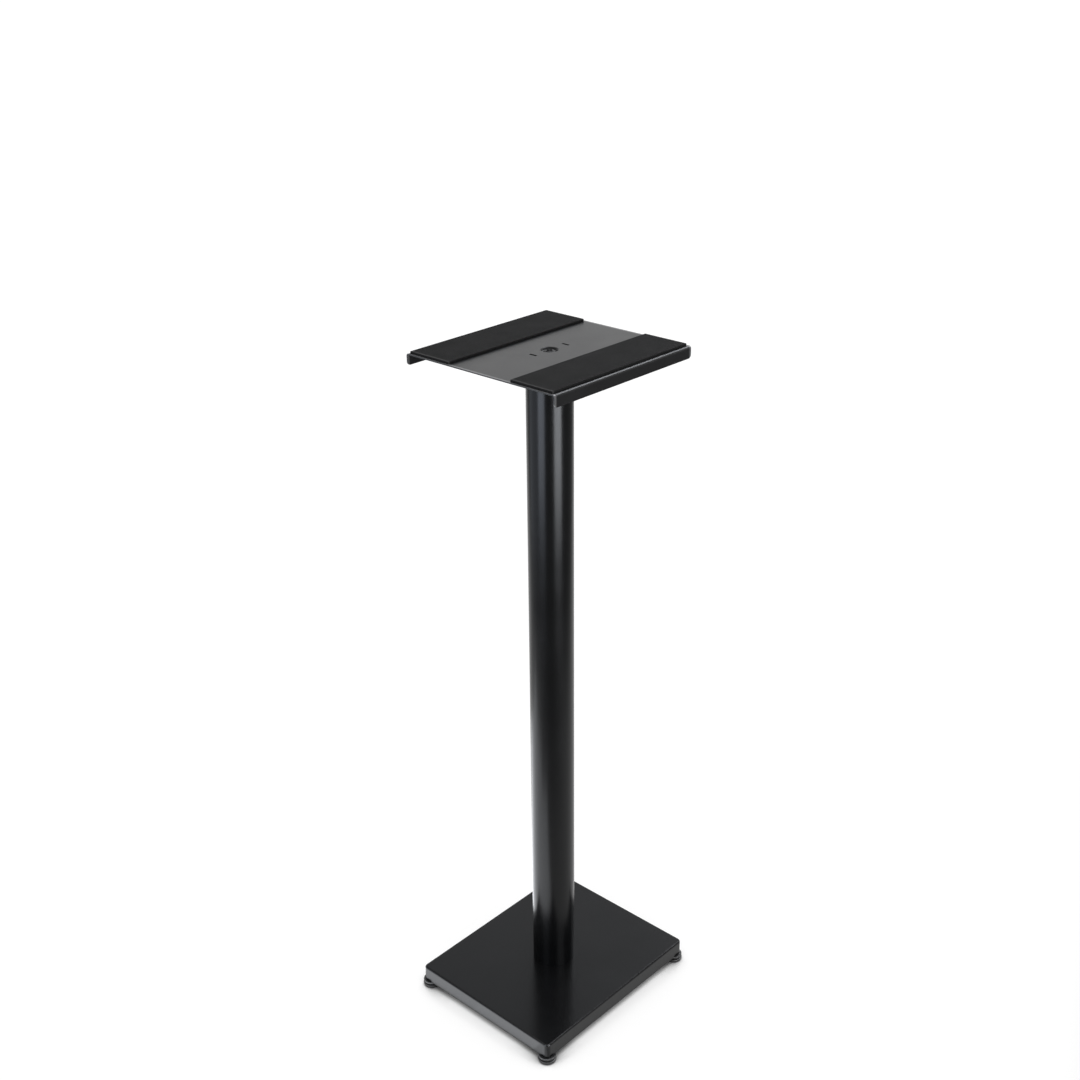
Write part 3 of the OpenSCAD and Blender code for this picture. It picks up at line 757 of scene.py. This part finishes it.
def place_camera():
    """Camera at the photograph's viewpoint."""
    data = bpy.data.cameras.new("camera")
    data.lens = LENS
    data.sensor_width = FILM_W
    camera = bpy.data.objects.new("camera", data)
    bpy.context.scene.collection.objects.link(camera)
    yaw, pitch, roll = CAMERA_TURNS
    ahead = np.array([np.cos(pitch) * np.cos(yaw), np.cos(pitch) * np.sin(yaw), np.sin(pitch)])
    right = np.cross(ahead, [0.0, 0.0, 1.0])
    right /= np.linalg.norm(right)
    up = np.cross(right, ahead)
    across = right * np.cos(roll) + up * np.sin(roll)
    upright = up * np.cos(roll) - right * np.sin(roll)
    pose = np.eye(4)
    pose[:3, 0], pose[:3, 1], pose[:3, 2] = across, upright, -ahead
    pose[:3, 3] = CAMERA_PLACE
    camera.matrix_world = Matrix(pose.tolist())
    bpy.context.scene.camera = camera


def seen_directly(tree):
    """1 for camera, glossy and transmission rays, 0 for the rays that carry soft light."""
    path = add(tree, "ShaderNodeLightPath")
    first = add(tree, "ShaderNodeMath", {
        0: path.outputs["Is Camera Ray"], 1: path.outputs["Is Glossy Ray"]}, operation="MAXIMUM")
    return add(tree, "ShaderNodeMath", {
        0: first.outputs[0], 1: path.outputs["Is Transmission Ray"]}, operation="MAXIMUM").outputs[0]


def lay_floor():
    """Pale floor that keeps the object's shadow, with a painted contact shadow in its glow where the stand
    shuts it in, and painted shade past lines in front of the stand and beside it. It lets the view through
    from below."""
    half = FLOOR_HALF
    corners = [(-half, -half, 0), (half, -half, 0), (half, half, 0), (-half, half, 0)]
    mesh = bpy.data.meshes.new("floor")
    mesh.from_pydata(corners, [], [(0, 1, 2, 3)])
    floor = bpy.data.objects.new("floor", mesh)
    bpy.context.scene.collection.objects.link(floor)
    material = bpy.data.materials.new("pale floor")
    material.use_nodes = True
    tree = material.node_tree
    tree.nodes.clear()
    direct = seen_directly(tree)
    front = None
    # Painted shade: past each line the floor's colour darkens and its glow fades out
    for heading, start in SHADE_FADES:
        turn = np.radians(heading)
        ahead = add(tree, "ShaderNodeVectorMath", {
            0: object_coords(tree), 1: (np.cos(turn), np.sin(turn), 0.0)}, operation="DOT_PRODUCT")
        side = ranged(tree, ahead.outputs["Value"], 0.0, 1.0, start, start + FADE_LENGTH)
        front = side if front is None else add(
            tree, "ShaderNodeMath", {0: front, 1: side}, operation="MAXIMUM").outputs[0]
    # Painted contact shadow: ambient occlusion dims the floor's glow near the stand
    near = add(tree, "ShaderNodeAmbientOcclusion", {"Distance": CONTACT_REACH}, samples=8).outputs["AO"]
    painted_shadow_share = ranged(tree, near, 0.0, 1.0, *CONTACT_RANGE)
    paper = add(tree, "ShaderNodeBsdfDiffuse", {
        "Color": tinted(tree, front, (PAPER,) * 3, (SHADED_PAPER,) * 3)})
    lift = add(tree, "ShaderNodeEmission", {"Color": (1.0, 1.0, 1.0, 1.0)})
    strength = add(tree, "ShaderNodeMath", {
        0: direct, 1: ranged(tree, front, FLOOR_LIFT, 0.0, 0.0, 1.0)}, operation="MULTIPLY")
    strength = add(tree, "ShaderNodeMath", {0: strength.outputs[0], 1: painted_shadow_share}, operation="MULTIPLY")
    tree.links.new(strength.outputs[0], lift.inputs["Strength"])
    lit = add(tree, "ShaderNodeAddShader", {0: paper.outputs[0], 1: lift.outputs[0]})
    clear = add(tree, "ShaderNodeBsdfTransparent")
    behind = add(tree, "ShaderNodeNewGeometry").outputs["Backfacing"]
    both = add(tree, "ShaderNodeMixShader", {0: behind, 1: lit.outputs[0], 2: clear.outputs[0]})
    output = add(tree, "ShaderNodeOutputMaterial")
    tree.links.new(both.outputs[0], output.inputs["Surface"])
    mesh.materials.append(material)


def light_room():
    """Studio backdrop: white low down, fading to a darker ceiling, the same for every ray."""
    world = bpy.data.worlds.new("studio")
    world.use_nodes = True
    tree = world.node_tree
    tree.nodes.clear()
    height = add(tree, "ShaderNodeSeparateXYZ", {0: add(tree, "ShaderNodeTexCoord").outputs["Generated"]})
    ramp = add(tree, "ShaderNodeValToRGB", {0: height.outputs["Z"]})
    stops = ramp.color_ramp.elements
    stops.remove(stops[1])
    stops[0].position, stops[0].color = BACKDROP[0][0], (*(BACKDROP[0][1],) * 3, 1.0)
    for place, level in BACKDROP[1:]:
        stops.new(place).color = (level, level, level, 1.0)
    sky = add(tree, "ShaderNodeBackground", {"Color": ramp.outputs[0], "Strength": 1.0})
    output = add(tree, "ShaderNodeOutputWorld")
    tree.links.new(sky.outputs[0], output.inputs["Surface"])
    bpy.context.scene.world = world


def daylight(radiance):
    """Broad even light from straight above, of which a white sheet on the floor would show `radiance`."""
    data = bpy.data.lights.new("ceiling light", "SUN")
    data.angle = CEILING_SPREAD
    data.energy = radiance * np.pi
    lamp = bpy.data.objects.new("ceiling light", data)
    bpy.context.scene.collection.objects.link(lamp)


def sheet_lamp(name, size, radiance, tint):
    """Rectangular lamp whose power gives the radiance: it shows in gloss alone."""
    data = bpy.data.lights.new(name, "AREA")
    data.shape = "RECTANGLE"
    data.size, data.size_y = size
    data.energy = radiance * np.pi * size[0] * size[1]
    data.color = tint
    lamp = bpy.data.objects.new(name, data)
    bpy.context.scene.collection.objects.link(lamp)
    lamp.visible_camera = False
    lamp.visible_diffuse = False
    return lamp


def card(name, x0, y0, x1, y1, radiance, tint):
    """Bright reflector card lying on the floor: a lamp that faces up."""
    lamp = sheet_lamp(name, (x1 - x0, y1 - y0), radiance, tint)
    middle = Matrix.Translation(((x0 + x1) / 2, (y0 + y1) / 2, CARD_LIFT))
    lamp.matrix_world = middle @ Matrix.Rotation(np.pi, 4, "X")


def softbox(name, azimuth, distance, height, size, radiance, aim, tint):
    """Softbox at an azimuth in degrees about the column, turned to a point."""
    lamp = sheet_lamp(name, size, radiance, tint)
    turn = np.radians(azimuth)
    place = np.array([distance * np.cos(turn), distance * np.sin(turn), height])
    back = place - np.asarray(aim, float)
    back /= np.linalg.norm(back)
    across = np.cross([0.0, 0.0, 1.0], back)
    across /= np.linalg.norm(across)
    pose = np.eye(4)
    pose[:3, 0], pose[:3, 1], pose[:3, 2], pose[:3, 3] = across, np.cross(back, across), back, place
    lamp.matrix_world = Matrix(pose.tolist())


place_camera()
light_room()
lay_floor()
# Softboxes: azimuth, distance and height, size, radiance, the point aimed at, tint
softbox("strip right", -11.0, 1.5, 0.71, (0.95, 1.2), 14.5, (0, 0, 0.71), CLEAR)
softbox("strip left", -90.0, 1.5, 0.71, (0.85, 1.2), 7.2, (0, 0, 0.71), COOL)
softbox("fill left", -133.0, 1.5, 0.45, (1.5, 0.9), 1.15, (0, 0, 0.71), COOL)
softbox("back light", 94.0, 6.0, 6.00, (5.0, 1.0), 13.0, (0, 0, 0.92), CLEAR)
softbox("sky light", 131.0, 6.0, 5.10, (3.2, 2.2), 0.72, (0, 0, 0.5), CLEAR)
softbox("top light", 57.0, 0.95, 2.4, (0.9, 0.9), 12.0, (0.1, -0.1, 0.03), CLEAR)
# Cards: left, front, right and back edge, radiance, tint
card("card left", -0.70, -0.60, -0.14, 0.15, 2.3, CLEAR)
card("card front 1", -0.14, -0.50, -0.03, -0.152, 2.8, CLEAR)
card("card front 2", -0.03, -0.50, 0.085, -0.152, 3.0, CLEAR)
card("card front 3", 0.085, -0.50, 0.105, -0.152, 2.0, CLEAR)
card("card front 4", 0.105, -0.50, 0.128, -0.152, 1.2, CLEAR)
daylight(0.55)

COAT = powder_coat(
    "satin black powder coat", (0.0032, 0.0033, 0.0037), (0.0046, 0.0048, 0.0054),
    gloss=0.21, peel_size=1.6, peel_depth=0.005, grain_depth=0.0016, ior=1.31)
# The top plate's coat carries a painted highlight along its cut ends
PLATE_COAT = powder_coat(
    "top plate powder coat", (0.0032, 0.0033, 0.0037), (0.0046, 0.0048, 0.0054),
    gloss=0.34, peel_size=1.6, peel_depth=0.005, grain_depth=0.0016, ior=1.35, ends=PLATE_HIGHLIGHT_ENDS)
COLUMN_COAT = powder_coat(
    "column powder coat", (0.0028, 0.0030, 0.0036), (0.0040, 0.0043, 0.0050),
    gloss=0.24, peel_size=1.6, peel_depth=0.004, grain_depth=0.0012, ior=1.28)
FOAM = foam_rubber("black foam rubber")
PLASTIC = moulded(
    "black moulded plastic", (0.014, 0.014, 0.0145), (0.022, 0.022, 0.0225), gloss=0.30, texture_depth=0.008)
RUBBER = moulded(
    "black foot rubber", (0.016, 0.016, 0.016), (0.026, 0.026, 0.0255), gloss=0.36, texture_depth=0.010)
ZINC = plated_metal(
    "zinc plated steel", (0.50, 0.52, 0.55), (0.66, 0.67, 0.68), gloss=0.30, brush_depth=0.004)
BRASS = plated_metal(
    "pale brass", (0.64, 0.56, 0.37), (0.79, 0.71, 0.51), gloss=0.26, brush_depth=0.004,
    turn=(0.0, 0.0, -SPIKE_HEADING))
BOLT_BLACK = powder_coat(
    "blackened bolt", (0.005, 0.005, 0.0053), (0.008, 0.008, 0.0084),
    gloss=0.42, peel_size=0.8, peel_depth=0.003, grain_depth=0.001, ior=1.3)


def enter(piece, body, slot, *nodes):
    """The piece rides on its body and stands for its CAD nodes, which are hidden; its slot is not used."""
    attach(piece, body)
    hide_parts(*nodes)
    return piece


enter(base_pan(), "stand", "black_sheet", "base_pan")
enter(column_tube(), "stand", "black_column", "column_tube")
enter(top_plate(), "stand", "black_sheet", "top_plate")
enter(top_bolt(), "stand", "black_bolt", "top_bolt")
for side in PAD_X:
    enter(rest_pad(side), "stand", "cushion_rubber", f"rest_pad_{side}")
for corner in CORNERS:
    enter(foot_pad(corner), f"foot_{corner}", "foot_rubber", f"foot_pad_{corner}")
    enter(foot_wheel(corner), f"screw_{corner}", "foot_plastic", f"foot_wheel_{corner}")
    enter(foot_stud(corner), f"screw_{corner}", "plated_steel", f"foot_stud_{corner}")
for number in range(1, 5):
    enter(spike(number), "stand", "spike_brass", f"spike_{number}")

kept = {"base_stiffener": COAT, "column_bottom_disc": COAT, "column_top_disc": COAT, "base_bolt": ZINC,
        "base_washer": ZINC, "base_spring_washer": ZINC, "bottom_weld_nut": ZINC, "top_weld_nut": ZINC}
for corner in CORNERS:
    kept[f"corner_gusset_{corner}"] = COAT
    kept[f"gusset_nut_{corner}"] = ZINC
for name, material in kept.items():
    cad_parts[name].data.materials.clear()
    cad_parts[name].data.materials.append(material)

bpy.context.scene.view_settings.view_transform = "Standard"
